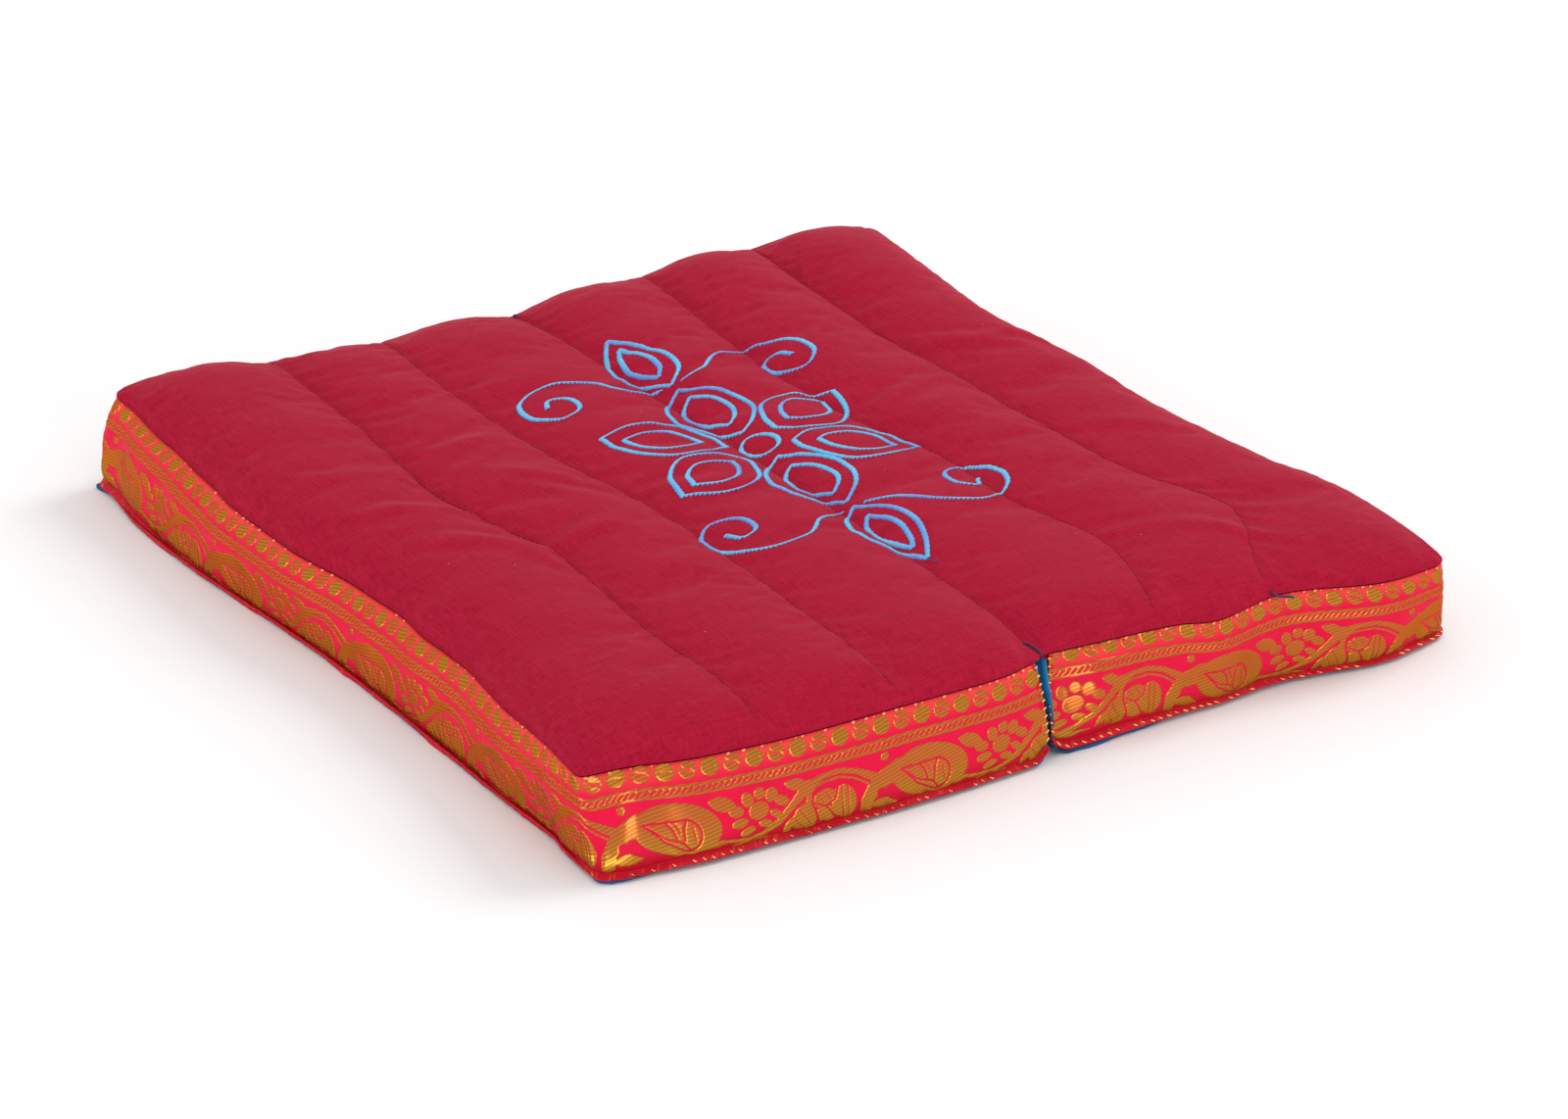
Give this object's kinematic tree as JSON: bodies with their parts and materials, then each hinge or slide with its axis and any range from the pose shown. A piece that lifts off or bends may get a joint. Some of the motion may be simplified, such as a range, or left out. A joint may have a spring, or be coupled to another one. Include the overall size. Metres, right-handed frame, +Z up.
{
  "type": "folding yoga cushion",
  "caption": "Square folding floor cushion in two filled, channel-stitched halves under one top panel, with woven side bands and a plain base, opened flat.",
  "frame": {"origin": "middle of the cushion's outline, on the floor it lies on", "axes": "+Z up; the fold between the halves runs along Y close to X = 0; -Y is the near side in the picture and +X the right half"},
  "size_m": [0.4009, 0.4113, 0.0532],
  "materials": {
    "crimson_cotton": "matt crimson plain-weave cotton, sewn in channels over the filling",
    "brocade_band": "satin pink ribbon with a woven metallic gold border pattern",
    "blue_cotton": "matt blue plain-weave cotton"
  },
  "bodies": {
    "root": {"cushion": "crimson_cotton", "band_left": "brocade_band", "band_right": "brocade_band", "base_left": "blue_cotton", "base_right": "blue_cotton"}
  },
  "joints": []
}
